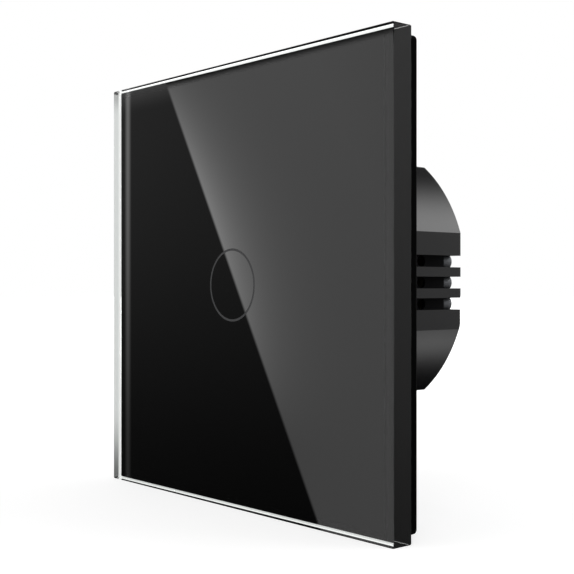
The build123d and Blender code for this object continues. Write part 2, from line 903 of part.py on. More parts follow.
def terminal_cage(z):
    """Box clamp, at rest fully open, with the thread in its thick top."""
    x_pair = around(terminal_x, cage_length)
    cage = brick(x_pair, (cage_bottom, cage_top), around(z, cage_width))
    cage -= brick((x_pair[0] - cut_overrun, x_pair[1] + cut_overrun), (cage_floor_top, cage_window_top),
                  around(z, cage_width - 2 * cage_wall))
    return cage - rod_y(terminal_x, z, terminal_screw_radius + terminal_thread_gap, cage_window_top,
                        cage_top + cut_overrun)


# Relay

def relay_pin_places():
    left = relay_left + relay_pin_inset
    right = relay_x + relay_length / 2 - relay_pin_inset
    reach = relay_width / 2 - relay_pin_inset
    return [(x, relay_z + level * reach) for x in (left, right) for level in (-1, 1)]


def relay_base():
    inner_length = relay_length - 2 * relay_cover_wall - 2 * face_gap
    inner_width = relay_width - 2 * relay_cover_wall - 2 * face_gap
    base = brick(around(relay_x, inner_length), (power_board_rear, relay_floor), around(relay_z, inner_width))
    stop_right = leaf_left - stop_gap
    base += brick((stop_right - stop_thickness, stop_right), (relay_floor, relay_floor + stop_height),
                  around(relay_z, leaf_width))
    flange_foot = coil_height - coil_flange_height / 2
    for x_pair in coil_flanges():
        base += brick(x_pair, (relay_floor, flange_foot), around(relay_z + relay_width / 4, leaf_width / 2))
        base += brick(x_pair, (relay_floor, flange_foot), around(relay_z - relay_width / 4, leaf_width / 2))
    for x, z in relay_pin_places():
        base -= rod_y(x, z, relay_pin_radius, power_board_rear - cut_overrun, relay_floor + cut_overrun)
    return base


def relay_pins():
    tail = power_board_front - lead_tail
    return [rod_y(x, z, relay_pin_radius, tail, relay_floor) for x, z in relay_pin_places()]


def coil_flanges():
    return [(coil_left, coil_left + coil_flange_thickness), (coil_right - coil_flange_thickness, coil_right)]


def relay_bobbin():
    spool = rod_x(coil_height, relay_z, coil_barrel_radius, coil_left, coil_right)
    for x_pair in coil_flanges():
        spool += brick(x_pair, around(coil_height, coil_flange_height), around(relay_z, coil_flange_width))
    return spool - rod_x(coil_height, relay_z, core_radius, coil_left - cut_overrun, coil_right + cut_overrun)


def relay_winding():
    left = coil_left + coil_flange_thickness
    right = coil_right - coil_flange_thickness
    winding = rod_x(coil_height, relay_z, coil_winding_radius, left, right)
    return winding - rod_x(coil_height, relay_z, coil_barrel_radius, left - cut_overrun, right + cut_overrun)


def relay_core():
    core = rod_x(coil_height, relay_z, core_radius, coil_left, yoke_right)
    return core + rod_x(coil_height, relay_z, pole_shoe_radius, pole_face, coil_left)


def relay_yoke():
    """Angle of soft iron: along the coil's top and down behind its end."""
    z_pair = around(relay_z, yoke_width)
    arm = brick((armature_right + sliding_gap, yoke_right), (yoke_under, yoke_top), z_pair)
    foot = coil_height - coil_flange_height / 2
    upright = brick((coil_right, yoke_right), (foot, yoke_top), z_pair)
    yoke = arm + upright
    return yoke - rod_x(coil_height, relay_z, core_radius, coil_right - cut_overrun, yoke_right + cut_overrun)


def relay_fixed_contact():
    z_pair = around(relay_z, contact_post_width)
    post_left = fixed_contact_face + contact_height
    post = brick((post_left, post_left + contact_post_thickness), (relay_floor, contact_y + contact_radius),
                 z_pair)
    return post + rod_x(contact_y, relay_z, contact_radius, fixed_contact_face, post_left)


def relay_armature():
    """Iron flap that hangs from the end of the yoke, in front of the pole."""
    top = yoke_top - armature_thickness / 4
    return brick((armature_left, armature_right), (relay_floor + armature_foot, top),
                 around(relay_z, yoke_width))


def relay_leaf():
    """Contact spring riveted to the flap, with its silver contact at the foot."""
    leaf = brick((leaf_left, armature_left), (relay_floor + leaf_foot, yoke_top - leaf_top_drop),
                 around(relay_z, leaf_width))
    return leaf + rod_x(contact_y, relay_z, contact_radius, armature_left, armature_left + contact_height)


def relay_cover():
    front = power_board_rear + face_gap
    outer = brick(around(relay_x, relay_length), (front, relay_top), around(relay_z, relay_width))
    outer = fillet(outer.edges().filter_by(Axis.Y), box_edge)
    inner_length = relay_length - 2 * relay_cover_wall
    inner_width = relay_width - 2 * relay_cover_wall
    return outer - brick(around(relay_x, inner_length), (front - cut_overrun, relay_top - relay_cover_wall),
                         around(relay_z, inner_width))


def write_node(name, shape):
    solids = shape if isinstance(shape, list) else [shape]
    export_step(Compound(children=solids) if len(solids) > 1 else solids[0], f"parts/{name}.step")


os.makedirs("parts", exist_ok=True)
single_pieces = [
    glass_panel, black_print, ring_window, panel_tape, panel_frame,
    mounting_plate, rear_housing, front_cover, housing_screws,
    touch_board, light_guide, touch_spring, indicator_leds, touch_chip, touch_chip_leads, small_parts,
    header_pins, header_carrier, header_socket,
    power_board, lead_wires, film_capacitor, electrolytic_capacitor, varistor, fuse, resistors,
    transistor, choke_core, choke_winding, rectifier,
    terminal_block, terminal_contacts,
    relay_base, relay_pins, relay_bobbin, relay_winding, relay_core, relay_yoke, relay_fixed_contact,
    relay_armature, relay_leaf, relay_cover,
]
for piece in single_pieces:
    write_node(piece.__name__, piece())
for number, pole in enumerate(poles, start=1):
    write_node(f"terminal_screw_{number}", terminal_screw(pole))
    write_node(f"terminal_cage_{number}", terminal_cage(pole))
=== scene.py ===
import bpy
import math
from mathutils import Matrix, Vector


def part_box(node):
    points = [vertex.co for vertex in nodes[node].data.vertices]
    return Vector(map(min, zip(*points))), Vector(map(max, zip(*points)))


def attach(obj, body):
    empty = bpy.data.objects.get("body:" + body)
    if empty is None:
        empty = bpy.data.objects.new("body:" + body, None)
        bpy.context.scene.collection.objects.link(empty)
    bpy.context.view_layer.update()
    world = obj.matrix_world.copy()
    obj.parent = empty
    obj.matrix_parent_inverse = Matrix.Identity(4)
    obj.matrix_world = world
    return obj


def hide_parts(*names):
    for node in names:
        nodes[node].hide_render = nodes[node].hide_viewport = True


# Touch light switch: first the pieces of its panel, then the shells of its module and what they hold,
# each dressed as the real one is made.
# Metres, in the part's frame: X to the right seen from the room, Y into the wall, Z up.

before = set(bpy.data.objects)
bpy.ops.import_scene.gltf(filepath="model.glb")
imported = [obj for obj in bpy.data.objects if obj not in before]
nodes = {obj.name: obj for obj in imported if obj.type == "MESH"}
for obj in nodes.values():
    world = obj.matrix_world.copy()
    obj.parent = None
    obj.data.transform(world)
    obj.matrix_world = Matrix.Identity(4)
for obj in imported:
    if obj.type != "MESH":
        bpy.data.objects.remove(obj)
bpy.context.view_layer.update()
mm = 0.001


# The view of the photograph: level with the middle of the panel, close by and from its right,
# through a short telephoto lens.
panel_low, panel_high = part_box("glass_panel")
panel_middle = (panel_low + panel_high) / 2
panel_face = Vector((panel_middle.x, panel_low.y, panel_middle.z))
camera_stand = Vector((153.87, -118.86, 0.0)) * mm
camera_aim = Vector((-0.7593, 0.6508, 0.0))
camera_sensor = 36.0
camera_lens = 67.92
camera_shift_up = -0.0035
camera_near = 5 * mm

camera_data = bpy.data.cameras.new("photo_camera")
camera_data.sensor_width = camera_sensor
camera_data.lens = camera_lens
camera_data.shift_y = camera_shift_up
camera_data.clip_start = camera_near
camera = bpy.data.objects.new("photo_camera", camera_data)
camera.location = panel_face + camera_stand
camera.rotation_euler = camera_aim.to_track_quat("-Z", "Y").to_euler()
bpy.context.scene.collection.objects.link(camera)
bpy.context.scene.camera = camera
bpy.context.scene.view_settings.view_transform = "Standard"


# Studio floor: a pale painted board that the panel stands over and throws a soft shadow on.
# Much of its white is its own, and all of it further off, so that it ends as pale as the backdrop.
floor_reach = 3.0
floor_tiles = 12
floor_white = "#fdfdfd"
floor_own_light = 1.8
floor_own_share = 0.35
floor_shadow_reach = 0.16
floor_plain_reach = 0.5


def linear(code):
    """sRGB hex code as linear red, green, blue and alpha."""
    shares = [int(code[place:place + 2], 16) / 255 for place in (1, 3, 5)]
    return tuple(s / 12.92 if s <= 0.04045 else ((s + 0.055) / 1.055) ** 2.4 for s in shares) + (1.0,)


def add_node(tree, kind, settings=None, *feeds):
    """Adds a node. Settings are its properties, and its inputs by name or number, and feeds go to its
    first inputs in turn. An output is linked, and a node given in its place means its first output.
    A Mix node has two colours as inputs 6 and 7 and gives output 2, or has two numbers as 2 and 3."""
    node = tree.nodes.new(kind)
    for name, value in [*(settings or {}).items(), *enumerate(feeds)]:
        if isinstance(value, bpy.types.Node):
            value = value.outputs[0]
        if isinstance(name, str) and hasattr(node, name):
            setattr(node, name, value)
        elif isinstance(value, bpy.types.NodeSocket):
            tree.links.new(value, node.inputs[name])
        else:
            node.inputs[name].default_value = value
    return node


def blank_finish(name):
    """A new material, its empty node tree, and the place on the piece that its patterns follow."""
    material = bpy.data.materials.new(name)
    material.use_nodes = True
    material.node_tree.nodes.clear()
    place = add_node(material.node_tree, "ShaderNodeTexCoord").outputs["Object"]
    return material, material.node_tree, place


bpy.ops.object.select_all(action="DESELECT")
bpy.ops.mesh.primitive_grid_add(x_subdivisions=floor_tiles, y_subdivisions=floor_tiles, size=2 * floor_reach,
                                location=(0, 0, panel_low.z))
floor = bpy.context.object
floor.name = "studio_floor"
floor.visible_glossy = False

# Matt white paint: an even pale ground with no gloss, and no dark patch where a lamp doesn't reach.
floor_paint, tree, place = blank_finish("matt white painted board")
paint = add_node(tree, "ShaderNodeBsdfDiffuse", {"Color": linear(floor_white)})
own_white = add_node(tree, "ShaderNodeEmission", {"Color": linear(floor_white), "Strength": floor_own_light})
reach = add_node(tree, "ShaderNodeVectorMath", {"operation": "LENGTH"}, place).outputs["Value"]
own = add_node(tree, "ShaderNodeMapRange", {}, reach, floor_shadow_reach, floor_plain_reach,
               floor_own_share, 1.0)
ray = add_node(tree, "ShaderNodeLightPath").outputs
eye_or_glass = add_node(tree, "ShaderNodeMath", {"operation": "MAXIMUM"}, ray["Is Camera Ray"],
                        ray["Is Transmission Ray"])
seen = add_node(tree, "ShaderNodeMath", {"operation": "MULTIPLY"}, eye_or_glass, own)
both = add_node(tree, "ShaderNodeMixShader", {}, seen, paint, own_white)
add_node(tree, "ShaderNodeOutputMaterial", {"Surface": both})
floor.data.materials.append(floor_paint)


# Studio surroundings: a white backdrop for the eye and for what shows through the glass, an even
# soft light, and for gloss the softboxes and the dark side of a studio, which the black glass needs.
backdrop_strength = 1.0
fill_strength = 0.55
smooth = {"interpolation_type": "SMOOTHSTEP"}

# A direction into the room is told by its slopes: how far outward and upward it goes for each step
# towards the room. Four numbers are a smooth ramp: where it starts and ends, and its levels there.
least_step = 0.02
box_edge_middle = 1.2846
box_edge_slope = 0.5626
box_edge_blur = (-0.004, 0.004, 0.0, 1.0)
box_level = 0.87
box_level_slope = 0.79
box_level_limit = 1.15
box_top_end = (0.3165, 0.3295, 1.0, 0.1)
box_inner_end = (0.66, 0.92, 0.1, 1.0)
glow_fade = 0.062
glow_height = 0.1
glow_by_height = (0.0, 0.34, 2.0, 0.0)
shade_from_floor = (-0.38, 0.36, 0.035, 0.23)
shade_under_top = (0.29, 0.345, 0.0, 0.45)
strip_place = 1.5855
strip_across = (0.0, 0.012, 1.0, 0.0)
strip_by_height = (-0.33, 0.30, 0.2, 1.35)

# Light off the floor and ceiling, and all behind the wall plane, goes by the direction's own parts.
floor_bounce = (-0.5, -0.26, 0.65, 0.0)
ceiling_bounce = (0.3, 0.6, 0.0, 0.7)
rear_level = 0.42
rear_level_slope = 0.95
rear_band_end = (0.22, 0.62, 1.0, 0.06)
rear_ceiling = (0.74, 0.95, 0.0, 0.9)
rear_wall_box = (0.76, 0.97, 0.0, 0.75)
rear_box_start = 0.24
rear_box_full = 0.44
front_half = (-0.06, 0.0, 1.0, 0.0)

world = bpy.data.worlds.new("studio")
world.use_nodes = True
bpy.context.scene.world = world
tree = world.node_tree
tree.nodes.clear()
heading = add_node(tree, "ShaderNodeTexCoord").outputs["Generated"]
parts = add_node(tree, "ShaderNodeSeparateXYZ", {}, heading).outputs
room_part = add_node(tree, "ShaderNodeMath", {"operation": "MULTIPLY"}, parts["Y"], -1.0)
to_room = add_node(tree, "ShaderNodeMath", {"operation": "MAXIMUM"}, room_part, least_step)
side_part = add_node(tree, "ShaderNodeMath", {"operation": "ABSOLUTE"}, parts["X"])
outward = add_node(tree, "ShaderNodeMath", {"operation": "DIVIDE"}, side_part, to_room)
upward = add_node(tree, "ShaderNodeMath", {"operation": "DIVIDE"}, parts["Z"], to_room)

# Key softbox as the front glass mirrors it: it has a slanted edge with a glow along it, brightens a
# little further in, and ends overhead and towards the middle of the room.
edge = add_node(tree, "ShaderNodeMath", {"operation": "MULTIPLY_ADD"}, upward, box_edge_slope,
                box_edge_middle)
past_edge = add_node(tree, "ShaderNodeMath", {"operation": "SUBTRACT"}, edge, outward)
lit_side = add_node(tree, "ShaderNodeMapRange", smooth, past_edge, *box_edge_blur)
rising = add_node(tree, "ShaderNodeMath", {"operation": "MULTIPLY_ADD"}, past_edge, box_level_slope,
                  box_level)
plain_box = add_node(tree, "ShaderNodeMath", {"operation": "MINIMUM"}, rising, box_level_limit)
in_box = add_node(tree, "ShaderNodeMath", {"operation": "MAXIMUM"}, past_edge, 0.0)
glow_depth = add_node(tree, "ShaderNodeMath", {"operation": "MULTIPLY"}, in_box, -1 / glow_fade)
glow_share = add_node(tree, "ShaderNodeMath", {"operation": "EXPONENT"}, glow_depth)
above_glow = add_node(tree, "ShaderNodeMath", {"operation": "SUBTRACT"}, upward, glow_height)
off_glow = add_node(tree, "ShaderNodeMath", {"operation": "ABSOLUTE"}, above_glow)
glow_level = add_node(tree, "ShaderNodeMapRange", smooth, off_glow, *glow_by_height)
glow = add_node(tree, "ShaderNodeMath", {"operation": "MULTIPLY"}, glow_share, glow_level)
box_and_glow = add_node(tree, "ShaderNodeMath", {"operation": "ADD"}, plain_box, glow)
under_top = add_node(tree, "ShaderNodeMapRange", smooth, upward, *box_top_end)
outside_end = add_node(tree, "ShaderNodeMapRange", smooth, outward, *box_inner_end)
open_part = add_node(tree, "ShaderNodeMath", {"operation": "MULTIPLY"}, under_top, outside_end)
bright_side = add_node(tree, "ShaderNodeMath", {"operation": "MULTIPLY"}, box_and_glow, open_part)

# Dark side of the room beyond that edge, a little lighter upwards, with a thin upright strip light.
floor_shade = add_node(tree, "ShaderNodeMapRange", smooth, upward, *shade_from_floor)
top_shade = add_node(tree, "ShaderNodeMapRange", smooth, upward, *shade_under_top)
shade = add_node(tree, "ShaderNodeMath", {"operation": "ADD"}, floor_shade, top_shade)
beside_strip = add_node(tree, "ShaderNodeMath", {"operation": "SUBTRACT"}, strip_place, outward)
off_strip = add_node(tree, "ShaderNodeMath", {"operation": "ABSOLUTE"}, beside_strip)
strip_share = add_node(tree, "ShaderNodeMapRange", smooth, off_strip, *strip_across)
strip_level = add_node(tree, "ShaderNodeMapRange", smooth, upward, *strip_by_height)
strip = add_node(tree, "ShaderNodeMath", {"operation": "MULTIPLY"}, strip_share, strip_level)
dark_side = add_node(tree, "ShaderNodeMath", {"operation": "ADD"}, shade, strip)
room = add_node(tree, "ShaderNodeMix", {"data_type": "FLOAT", 2: dark_side, 3: bright_side}, lit_side)
low_bounce = add_node(tree, "ShaderNodeMapRange", smooth, parts["Z"], *floor_bounce)
high_bounce = add_node(tree, "ShaderNodeMapRange", smooth, parts["Z"], *ceiling_bounce)
bounce = add_node(tree, "ShaderNodeMath", {"operation": "ADD"}, low_bounce, high_bounce)
front_light = add_node(tree, "ShaderNodeMath", {"operation": "ADD"}, room, bounce)

# Behind the wall plane, for the module: a level band, a ceiling, a box straight behind, and two soft
# boxes aside, each with its direction, its spread, how steeply it falls off, and its level.
rear_boxes = (
    ((0.56, 0.70, 0.44), 0.088, 1.5, 3.2),
    ((0.42, 0.70, -0.565), 0.019, 1.0, 1.75),
)
steepness = add_node(tree, "ShaderNodeMath", {"operation": "ABSOLUTE"}, parts["Z"])
band = add_node(tree, "ShaderNodeMath", {"operation": "MULTIPLY_ADD", "use_clamp": True}, parts["Z"],
                rear_level_slope, rear_level)
band_share = add_node(tree, "ShaderNodeMapRange", smooth, steepness, *rear_band_end)
rear_light = add_node(tree, "ShaderNodeMath", {"operation": "MULTIPLY"}, band, band_share)
for direction, ramp in (("Z", rear_ceiling), ("Y", rear_wall_box)):
    flat_light = add_node(tree, "ShaderNodeMapRange", smooth, parts[direction], *ramp)
    rear_light = add_node(tree, "ShaderNodeMath", {"operation": "ADD"}, rear_light, flat_light)
for direction, spread, fall, level in rear_boxes:
    box_heading = Vector(direction).normalized()
    facing = add_node(tree, "ShaderNodeVectorMath", {"operation": "DOT_PRODUCT", 1: box_heading}, heading)
    away = add_node(tree, "ShaderNodeMath", {"operation": "SUBTRACT"}, 1.0, facing.outputs["Value"])
    aside = add_node(tree, "ShaderNodeMath", {"operation": "MAXIMUM"}, away, 0.0)
    spreads = add_node(tree, "ShaderNodeMath", {"operation": "DIVIDE"}, aside, spread)
    fallen = add_node(tree, "ShaderNodeMath", {"operation": "POWER"}, spreads, fall)
    negative = add_node(tree, "ShaderNodeMath", {"operation": "MULTIPLY"}, fallen, -1.0)
    dimmed = add_node(tree, "ShaderNodeMath", {"operation": "EXPONENT"}, negative)
    level_here = add_node(tree, "ShaderNodeMapRange", smooth, steepness, rear_box_start, rear_box_full,
                          0.0, level)
    box_light = add_node(tree, "ShaderNodeMath", {"operation": "MULTIPLY"}, dimmed, level_here)
    rear_light = add_node(tree, "ShaderNodeMath", {"operation": "ADD"}, rear_light, box_light)

to_front = add_node(tree, "ShaderNodeMapRange", smooth, parts["Y"], *front_half)
mirrored = add_node(tree, "ShaderNodeMix", {"data_type": "FLOAT", 2: rear_light, 3: front_light}, to_front)
white = linear("#ffffff")
backdrop = add_node(tree, "ShaderNodeBackground", {"Color": white, "Strength": backdrop_strength})
fill = add_node(tree, "ShaderNodeBackground", {"Color": white, "Strength": fill_strength})
studio = add_node(tree, "ShaderNodeBackground", {"Color": white, "Strength": mirrored})
ray = add_node(tree, "ShaderNodeLightPath").outputs
eye_or_glass = add_node(tree, "ShaderNodeMath", {"operation": "MAXIMUM"}, ray["Is Camera Ray"],
                        ray["Is Transmission Ray"])
unseen = add_node(tree, "ShaderNodeMixShader", {}, ray["Is Glossy Ray"], fill, studio)
sky = add_node(tree, "ShaderNodeMixShader", {}, eye_or_glass, unseen, backdrop)
add_node(tree, "ShaderNodeOutputWorld", {"Surface": sky})

# Softboxes that light the matt surfaces and the floor: name, place, size and power of each.
softboxes = (
    ("key_softbox", (-0.5, -0.9, 0.9), 0.8, 2.4),
    ("room_softbox", (0.85, -0.75, 0.9), 0.8, 2.2),
    ("rear_softbox", (0.9, 0.8, 0.7), 0.7, 3.4),
)
for name, stand, size, power in softboxes:
    lamp = bpy.data.lights.new(name, "AREA")
    lamp.size = size
    lamp.energy = power
    softbox = bpy.data.objects.new(name, lamp)
    softbox.location = stand
    softbox.rotation_euler = (panel_middle - Vector(stand)).to_track_quat("-Z", "Y").to_euler()
    softbox.visible_glossy = False
    bpy.context.scene.collection.objects.link(softbox)


# Glass panel: one square of clear toughened float glass, printed black on its back up to a clear margin.
# The left side is left matt from the wheel, the other sides are polished, and fine arrises run all round.
# The touch ring is etched lightly into the front, over the window in the print.
front_arris = 0.06 * mm
rear_arris = 0.02 * mm
corner_arris = 0.2 * mm
print_margin = 0.25 * mm
top_margin_left = 0.16 * mm
run_out_start = 2.1 * mm
run_out_end = 2.0 * mm
see_in_left = 4.4 * mm
see_in_elsewhere = 2.2 * mm
see_in_fade = 1.1 * mm
ring_outer = 6.55 * mm
ring_line = 0.4 * mm
ring_etch = 0.02 * mm
ring_steps = 160
place_slack = 0.01 * mm


def select_only(piece):
    bpy.ops.object.select_all(action="DESELECT")
    piece.select_set(True)
    bpy.context.view_layer.objects.active = piece


def pick(piece, kind, wanted):
    """Selects the edges or polygons of a piece that pass a test of their corners' places."""
    mesh = piece.data
    for group in (mesh.vertices, mesh.edges, mesh.polygons):
        group.foreach_set("select", [False] * len(group))
    for part in getattr(mesh, kind):
        part.select = wanted([mesh.vertices[corner].co for corner in part.vertices])
    bpy.context.tool_settings.mesh_select_mode = (False, kind == "edges", kind == "polygons")


def in_edit_mode(piece, *steps):
    """Runs operators, each with its settings, on what is picked."""
    select_only(piece)
    bpy.ops.object.mode_set(mode="EDIT")
    for operator, settings in steps:
        operator(**settings)
    bpy.ops.object.mode_set(mode="OBJECT")


def put_in_place(piece):
    """Leaves the piece's object at the origin, with its place in its mesh."""
    select_only(piece)
    bpy.ops.object.transform_apply(location=True, rotation=True, scale=True)


def near(value, target):
    return abs(value - target) < place_slack


bpy.ops.object.select_all(action="DESELECT")
bpy.ops.mesh.primitive_cube_add(size=1, location=panel_middle, scale=panel_high - panel_low)
glass = bpy.context.object
glass.name = "touch_glass"
put_in_place(glass)
pick(glass, "edges", lambda ends: near(ends[0].x, ends[1].x) and near(ends[0].z, ends[1].z))
in_edit_mode(glass, (bpy.ops.mesh.bevel, {"offset": corner_arris, "affect": "EDGES"}))
for depth, arris in ((panel_low.y, front_arris), (panel_high.y, rear_arris)):
    pick(glass, "edges", lambda ends: all(near(end.y, depth) for end in ends))
    in_edit_mode(glass, (bpy.ops.mesh.bevel, {"offset": arris, "affect": "EDGES"}))

# The back is divided where the print ends.
glass_reach = panel_high.x - panel_middle.x
shrink = (glass_reach - print_margin) / (glass_reach - rear_arris)
pick(glass, "polygons", lambda corners: all(near(corner.y, panel_high.y) for corner in corners))
in_edit_mode(glass, (bpy.ops.mesh.inset, {"thickness": 0.0}),
             (bpy.ops.transform.resize, {"value": (shrink, 1, shrink), "center_override": panel_middle}))

# The touch ring is cut with a flat ring that stands half in the glass.
ring_centre = (panel_middle.x, panel_low.y - ring_etch, panel_middle.z)
ring_share = (ring_outer - ring_line) / ring_outer
bpy.ops.object.select_all(action="DESELECT")
bpy.ops.mesh.primitive_circle_add(vertices=ring_steps, radius=ring_outer, rotation=(math.pi / 2, 0, 0),
                                  location=ring_centre)
cutter = bpy.context.object
put_in_place(cutter)
whole = {"action": "SELECT"}
in_edit_mode(cutter, (bpy.ops.mesh.select_all, whole),
             (bpy.ops.mesh.extrude_edges_move, {}),
             (bpy.ops.transform.resize, {"value": (ring_share,) * 3, "center_override": ring_centre}),
             (bpy.ops.mesh.select_all, whole),
             (bpy.ops.mesh.extrude_region_move, {"TRANSFORM_OT_translate": {"value": (0, 2 * ring_etch, 0)}}),
             (bpy.ops.mesh.select_all, whole),
             (bpy.ops.mesh.normals_make_consistent, {"inside": False}))
select_only(glass)
ring_cut = glass.modifiers.new("ring_cut", "BOOLEAN")
ring_cut.operation = "DIFFERENCE"
ring_cut.object = cutter
ring_cut.solver = "EXACT"
bpy.ops.object.modifier_apply(modifier=ring_cut.name)
bpy.data.objects.remove(cutter)

clear_glass = {"Base Color": linear("#fafdfb"), "IOR": 1.5, "Roughness": 0.004, "Transmission Weight": 1.0}
black_ink = {"Base Color": linear("#020202"), "Roughness": 0.6, "Specular IOR Level": 0.0}
skin_depth = 0.01 * mm


def per(size_in_mm):
    """Pattern scale for Object coordinates whose features are about this many millimetres across."""
    return 1 / (size_in_mm * mm)


# Polished sides and front arris: mirror smooth and clear to look into, with a breath of green, and
# only the faintest unevenness of gloss from the felt.
polished_glass, tree, place = blank_finish("polished glass side")
felt_marks = add_node(tree, "ShaderNodeTexNoise", {"Vector": place, "Scale": per(40), "Detail": 4.0})
felt_rough = add_node(tree, "ShaderNodeMapRange", {"To Min": 0.0028, "To Max": 0.0052}, felt_marks)
shader = add_node(tree, "ShaderNodeBsdfPrincipled", {**clear_glass, "Roughness": felt_rough})
add_node(tree, "ShaderNodeOutputMaterial", {"Surface": shader})

# Wheel-ground side: a fine even matt that lets the daylight behind it through, so that it glows pale.
# Painted light and shade go over its tone: a painted white glow along its back edge, painted shade
# towards its foot, and painted shade towards its top end, darkest in a thin painted cap at the very top.
# Reach and depth of the painted shade at the foot and the top end, and of the painted white glow at the back.
foot_shade_start = -1 * mm
foot_shade_end = 15 * mm
foot_shade_share = 0.18
head_shade_reach = 5 * mm
head_shade_share = 0.5
painted_cap_shade_start = 0.6 * mm
painted_cap_shade_full = 0.4 * mm
painted_cap_shade_share = 0.02
back_glow_start = 1.3 * mm
back_glow_full = 1.0 * mm
matt_skin_share = 0.25
ground_glass, tree, place = blank_finish("wheel-ground glass side")
wheel_marks = add_node(tree, "ShaderNodeTexNoise", {"Vector": place, "Scale": per(0.15), "Detail": 4.0})
matt_tone = add_node(tree, "ShaderNodeMix", {"data_type": "RGBA", 6: linear("#e2e4e3"), 7: linear("#f0f2f1")},
                     wheel_marks)
along = add_node(tree, "ShaderNodeSeparateXYZ", {}, place).outputs
# Painted shade: the tone is scaled down towards the foot, towards the top end, and almost to black at the
# top.
foot_shade = add_node(tree, "ShaderNodeMapRange", smooth, along["Z"], panel_low.z + foot_shade_start,
                      panel_low.z + foot_shade_end, foot_shade_share, 1.0)
head_shade = add_node(tree, "ShaderNodeMapRange", smooth, along["Z"], panel_high.z - head_shade_reach,
                      panel_high.z, 1.0, head_shade_share)
painted_cap_shade = add_node(tree, "ShaderNodeMapRange", smooth, along["Z"], panel_high.z - painted_cap_shade_start,
                    panel_high.z - painted_cap_shade_full, 1.0, painted_cap_shade_share)
head_share = add_node(tree, "ShaderNodeMath", {"operation": "MULTIPLY"}, head_shade, painted_cap_shade)
glow_left = add_node(tree, "ShaderNodeMath", {"operation": "MULTIPLY"}, foot_shade, head_share)
shaded_tone = add_node(tree, "ShaderNodeVectorMath", {"operation": "SCALE", "Scale": glow_left},
                       matt_tone.outputs[2])
# Painted light: the tone turns white towards the back edge.
painted_back_glow_share = add_node(tree, "ShaderNodeMapRange", smooth, along["Y"], panel_high.y - back_glow_start,
                   panel_high.y - back_glow_full, 0.0, 1.0)
glow_tone = add_node(tree, "ShaderNodeMix", {"data_type": "RGBA", 6: shaded_tone, 7: linear("#ffffff")},
                     painted_back_glow_share).outputs[2]
matt_relief = add_node(tree, "ShaderNodeBump",
                       {"Strength": 0.3, "Distance": skin_depth, "Height": wheel_marks})
scatter = add_node(tree, "ShaderNodeBsdfTranslucent", {"Color": glow_tone, "Normal": matt_relief})
matt_skin = add_node(tree, "ShaderNodeBsdfPrincipled", {
    "Base Color": glow_tone, "IOR": 1.5, "Roughness": 0.45, "Transmission Weight": 1.0,
    "Normal": matt_relief})
both = add_node(tree, "ShaderNodeMixShader", {}, matt_skin_share, scatter, matt_skin)
add_node(tree, "ShaderNodeOutputMaterial", {"Surface": both})

# Ceramic ink, screen-printed and fired into the back of the glass: it has no gloss of its own there, and
# shows through the glass as plain black depth.
fired_ink, tree, place = blank_finish("black fired ink")
dots = add_node(tree, "ShaderNodeTexNoise", {"Vector": place, "Scale": per(0.5), "Detail": 2.0})
ink_tone = add_node(tree, "ShaderNodeMix", {"data_type": "RGBA", 6: linear("#020202"), 7: linear("#050505")},
                    dots)
shader = add_node(tree, "ShaderNodeBsdfPrincipled", {**black_ink, "Base Color": ink_tone.outputs[2]})
add_node(tree, "ShaderNodeOutputMaterial", {"Surface": shader})

# Margin of the print: bare glass that shows as a white line round the black. It is a little narrower
# along the top towards the left, and ends just before the right-hand edge, which the ink runs out to.
margin_glass, tree, place = blank_finish("bare margin of the print")
along = add_node(tree, "ShaderNodeSeparateXYZ", {}, place).outputs
run_out = add_node(tree, "ShaderNodeMapRange", smooth, along["X"], panel_high.x - run_out_start,
                   panel_high.x - run_out_end, 0.0, 1.0)
top_margin = add_node(tree, "ShaderNodeMapRange", smooth, along["X"], panel_low.x, panel_middle.x,
                      top_margin_left, print_margin)
from_top = add_node(tree, "ShaderNodeMath", {"operation": "SUBTRACT"}, panel_high.z, along["Z"])
at_top = add_node(tree, "ShaderNodeMath", {"operation": "LESS_THAN"}, from_top, print_margin)
off_left = add_node(tree, "ShaderNodeMath", {"operation": "GREATER_THAN"}, along["X"],
                    panel_low.x + print_margin)
past_margin = add_node(tree, "ShaderNodeMath", {"operation": "GREATER_THAN"}, from_top, top_margin)
top_strip = add_node(tree, "ShaderNodeMath", {"operation": "MULTIPLY"}, at_top, off_left)
inked_strip = add_node(tree, "ShaderNodeMath", {"operation": "MULTIPLY"}, top_strip, past_margin)
inked_share = add_node(tree, "ShaderNodeMath", {"operation": "MAXIMUM"}, run_out, inked_strip)
bare = add_node(tree, "ShaderNodeBsdfPrincipled", clear_glass)
inked = add_node(tree, "ShaderNodeBsdfPrincipled", black_ink)
both = add_node(tree, "ShaderNodeMixShader", {}, inked_share, bare, inked)
add_node(tree, "ShaderNodeOutputMaterial", {"Surface": both})

# Etched ring: a frosted line that scatters a little light and mirrors next to nothing, so that it
# shows as a thin dark grey circle in the gloss.
etched_ring, tree, place = blank_finish("frosted touch ring")
frost = add_node(tree, "ShaderNodeTexNoise", {"Vector": place, "Scale": per(0.12), "Detail": 3.0})
frost_tone = add_node(tree, "ShaderNodeMix",
                      {"data_type": "RGBA", 6: linear("#454546"), 7: linear("#505051")}, frost)
frost_relief = add_node(tree, "ShaderNodeBump", {"Strength": 0.3, "Distance": skin_depth, "Height": frost})
shader = add_node(tree, "ShaderNodeBsdfPrincipled", {
    "Base Color": frost_tone.outputs[2], "Roughness": 0.7, "Specular IOR Level": 0.1, "Normal": frost_relief})
add_node(tree, "ShaderNodeOutputMaterial", {"Surface": shader})

